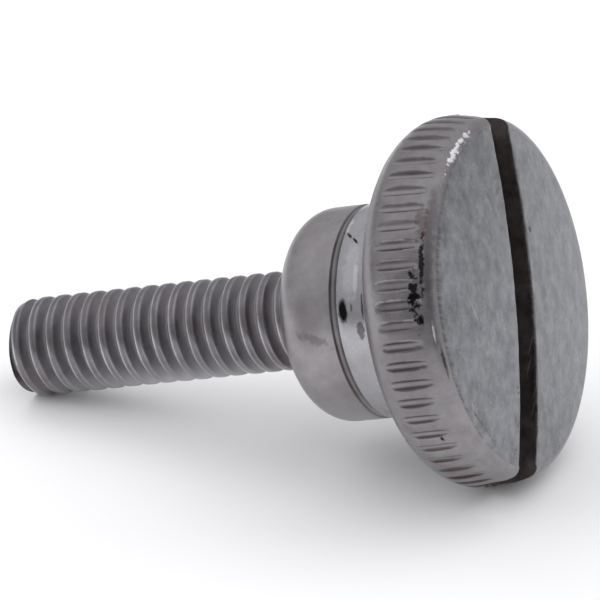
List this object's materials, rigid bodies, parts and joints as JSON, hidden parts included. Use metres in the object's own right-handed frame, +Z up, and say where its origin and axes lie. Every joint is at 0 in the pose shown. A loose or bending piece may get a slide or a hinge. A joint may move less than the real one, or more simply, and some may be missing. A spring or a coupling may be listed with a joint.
{
  "type": "presser foot screw",
  "caption": "Thumb screw with a crowned, knurled and slotted head, a round collar and a straight threaded shank, for clamping a sewing foot to its bar.",
  "frame": {"origin": "middle of the footprint of the part's box, on the surface the screw lies on", "axes": "+X from the thread's tip towards the slotted head, +Z up. The screw's own axis lies in the XZ plane and rises 15.6 degrees towards the head, as it rests on its rim and on the edge of its first thread"},
  "size_m": [0.0232, 0.0146, 0.0143],
  "materials": {
    "plated_steel": "satin"
  },
  "bodies": {
    "root": {"screw": "plated_steel"}
  },
  "joints": []
}
